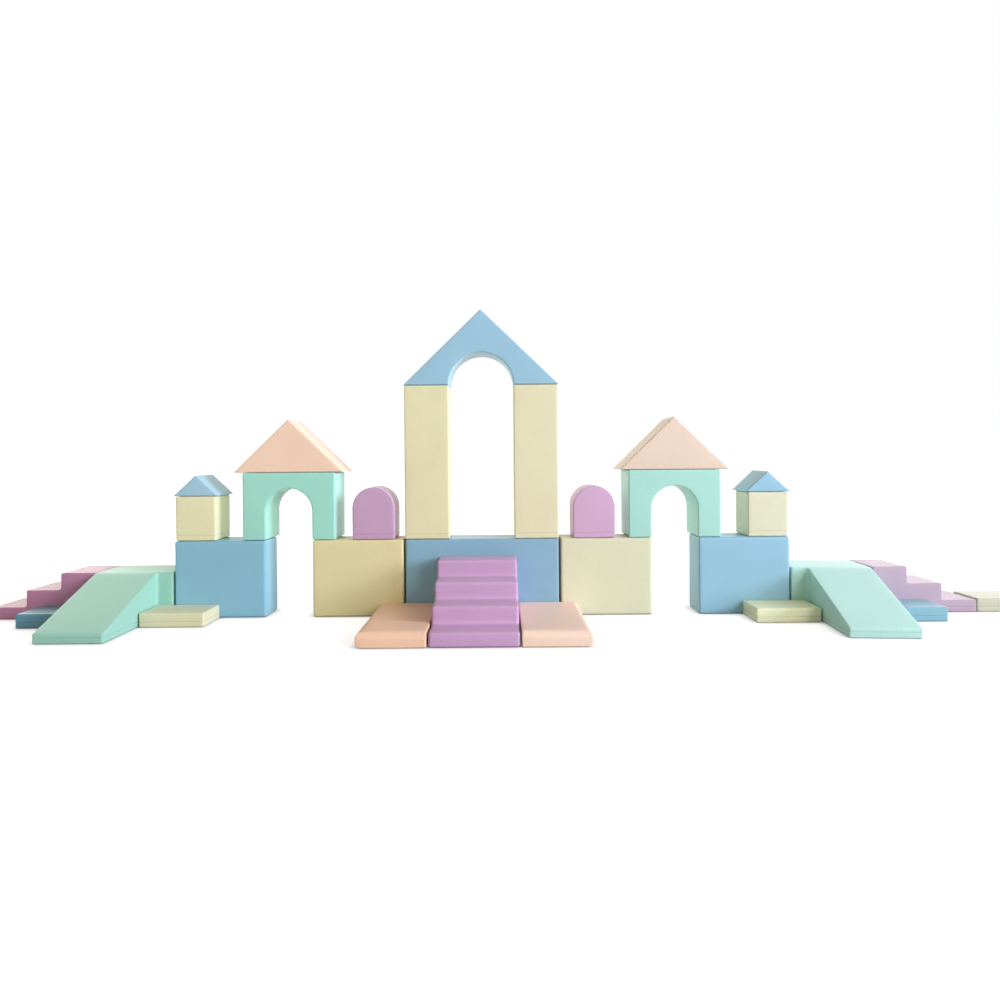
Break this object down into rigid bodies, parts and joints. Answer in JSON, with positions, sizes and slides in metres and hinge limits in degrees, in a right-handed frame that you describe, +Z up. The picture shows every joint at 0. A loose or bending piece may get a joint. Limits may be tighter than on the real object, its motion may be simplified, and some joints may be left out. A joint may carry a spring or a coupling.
{
  "type": "soft play block castle",
  "caption": "Walk-through castle of soft foam building blocks in sewn pastel covers, with a gabled gateway, stairs, arched side gates, turrets, slides, side steps and floor mats.",
  "frame": {"origin": "middle of the underside of the centre base block, on the floor", "axes": "+X along the castle to the right as seen from the front, +Y from front to back, +Z up"},
  "size_m": [6.7935, 1.0849, 1.985],
  "materials": {
    "blue_cover": "satin artificial leather",
    "cream_cover": "satin artificial leather",
    "lilac_cover": "satin artificial leather",
    "mint_cover": "satin artificial leather",
    "peach_cover": "satin artificial leather",
    "foam": "open-cell foam"
  },
  "bodies": {
    "foundation": {"centre_base_cover": "blue_cover", "left_inner_base_cover": "cream_cover", "right_inner_base_cover": "cream_cover", "left_outer_base_cover": "blue_cover", "right_outer_base_cover": "blue_cover", "centre_base_core": "foam", "left_inner_base_core": "foam", "right_inner_base_core": "foam", "left_outer_base_core": "foam", "right_outer_base_core": "foam"},
    "stairs": {"stairs_cover": "lilac_cover", "stairs_core": "foam"},
    "left_front_mat": {"left_front_mat_cover": "peach_cover", "left_front_mat_core": "foam"},
    "right_front_mat": {"right_front_mat_cover": "peach_cover", "right_front_mat_core": "foam"},
    "left_pillar": {"left_pillar_cover": "cream_cover", "left_pillar_core": "foam"},
    "right_pillar": {"right_pillar_cover": "cream_cover", "right_pillar_core": "foam"},
    "gable": {"gable_cover": "blue_cover", "gable_core": "foam"},
    "left_dome": {"left_dome_cover": "lilac_cover", "left_dome_core": "foam"},
    "right_dome": {"right_dome_cover": "lilac_cover", "right_dome_core": "foam"},
    "left_arch": {"left_arch_cover": "mint_cover", "left_arch_core": "foam"},
    "right_arch": {"right_arch_cover": "mint_cover", "right_arch_core": "foam"},
    "left_gate_roof": {"left_gate_roof_cover": "peach_cover", "left_gate_roof_core": "foam"},
    "right_gate_roof": {"right_gate_roof_cover": "peach_cover", "right_gate_roof_core": "foam"},
    "left_cube": {"left_cube_cover": "cream_cover", "left_cube_core": "foam"},
    "right_cube": {"right_cube_cover": "cream_cover", "right_cube_core": "foam"},
    "left_turret_roof": {"left_turret_roof_cover": "blue_cover", "left_turret_roof_core": "foam"},
    "right_turret_roof": {"right_turret_roof_cover": "blue_cover", "right_turret_roof_core": "foam"},
    "left_slide": {"left_slide_cover": "mint_cover", "left_slide_core": "foam"},
    "right_slide": {"right_slide_cover": "mint_cover", "right_slide_core": "foam"},
    "left_side_steps": {"left_side_steps_cover": "lilac_cover", "left_side_steps_core": "foam"},
    "right_side_steps": {"right_side_steps_cover": "lilac_cover", "right_side_steps_core": "foam"},
    "left_inner_mat": {"left_inner_mat_cover": "cream_cover", "left_inner_mat_core": "foam"},
    "right_inner_mat": {"right_inner_mat_cover": "cream_cover", "right_inner_mat_core": "foam"},
    "left_outer_mat": {"left_outer_mat_cover": "blue_cover", "left_outer_mat_core": "foam"},
    "right_outer_mat": {"right_outer_mat_cover": "blue_cover", "right_outer_mat_core": "foam"},
    "right_end_mat": {"right_end_mat_cover": "cream_cover", "right_end_mat_core": "foam"}
  },
  "joints": [
    {"name": "gable_lift", "type": "slide", "parent": "foundation", "child": "gable", "axis": [0, 0, 1], "range_m": [0, 0.4]},
    {"name": "left_pillar_pull", "type": "slide", "parent": "foundation", "child": "left_pillar", "axis": [0, 1, 0], "range_m": [0, 0.35]},
    {"name": "right_pillar_pull", "type": "slide", "parent": "foundation", "child": "right_pillar", "axis": [0, 1, 0], "range_m": [0, 0.35]},
    {"name": "stairs_pull", "type": "slide", "parent": "foundation", "child": "stairs", "axis": [0, -1, 0], "range_m": [0, 0.4]},
    {"name": "left_front_mat_pull", "type": "slide", "parent": "foundation", "child": "left_front_mat", "axis": [0, -1, 0], "range_m": [0, 0.4]},
    {"name": "right_front_mat_pull", "type": "slide", "parent": "foundation", "child": "right_front_mat", "axis": [0, -1, 0], "range_m": [0, 0.4]},
    {"name": "left_dome_lift", "type": "slide", "parent": "foundation", "child": "left_dome", "axis": [0, 0, 1], "range_m": [0, 0.3]},
    {"name": "left_arch_lift", "type": "slide", "parent": "foundation", "child": "left_arch", "axis": [0, 0, 1], "range_m": [0, 0.3]},
    {"name": "left_gate_roof_lift", "type": "slide", "parent": "left_arch", "child": "left_gate_roof", "axis": [0, 0, 1], "range_m": [0, 0.3]},
    {"name": "left_cube_lift", "type": "slide", "parent": "foundation", "child": "left_cube", "axis": [0, 0, 1], "range_m": [0, 0.3]},
    {"name": "left_turret_roof_lift", "type": "slide", "parent": "left_cube", "child": "left_turret_roof", "axis": [0, 0, 1], "range_m": [0, 0.25]},
    {"name": "left_slide_lift", "type": "slide", "parent": "foundation", "child": "left_slide", "axis": [0, 0, 1], "range_m": [0, 0.35]},
    {"name": "left_side_steps_pull", "type": "slide", "parent": "foundation", "child": "left_side_steps", "axis": [-1, 0, 0], "range_m": [0, 0.3]},
    {"name": "left_inner_mat_pull", "type": "slide", "parent": "foundation", "child": "left_inner_mat", "axis": [0, -1, 0], "range_m": [0, 0.4]},
    {"name": "left_outer_mat_pull", "type": "slide", "parent": "foundation", "child": "left_outer_mat", "axis": [0, -1, 0], "range_m": [0, 0.4]},
    {"name": "right_dome_lift", "type": "slide", "parent": "foundation", "child": "right_dome", "axis": [0, 0, 1], "range_m": [0, 0.3]},
    {"name": "right_arch_lift", "type": "slide", "parent": "foundation", "child": "right_arch", "axis": [0, 0, 1], "range_m": [0, 0.3]},
    {"name": "right_gate_roof_lift", "type": "slide", "parent": "right_arch", "child": "right_gate_roof", "axis": [0, 0, 1], "range_m": [0, 0.3]},
    {"name": "right_cube_lift", "type": "slide", "parent": "foundation", "child": "right_cube", "axis": [0, 0, 1], "range_m": [0, 0.3]},
    {"name": "right_turret_roof_lift", "type": "slide", "parent": "right_cube", "child": "right_turret_roof", "axis": [0, 0, 1], "range_m": [0, 0.25]},
    {"name": "right_slide_lift", "type": "slide", "parent": "foundation", "child": "right_slide", "axis": [0, 0, 1], "range_m": [0, 0.35]},
    {"name": "right_side_steps_pull", "type": "slide", "parent": "foundation", "child": "right_side_steps", "axis": [1, 0, 0], "range_m": [0, 0.3]},
    {"name": "right_inner_mat_pull", "type": "slide", "parent": "foundation", "child": "right_inner_mat", "axis": [-0.0698, -0.9976, 0], "range_m": [0, 0.4]},
    {"name": "right_outer_mat_pull", "type": "slide", "parent": "foundation", "child": "right_outer_mat", "axis": [0, -1, 0], "range_m": [0, 0.4]},
    {"name": "right_end_mat_pull", "type": "slide", "parent": "right_side_steps", "child": "right_end_mat", "axis": [1, 0, 0], "range_m": [0, 0.3]}
  ]
}
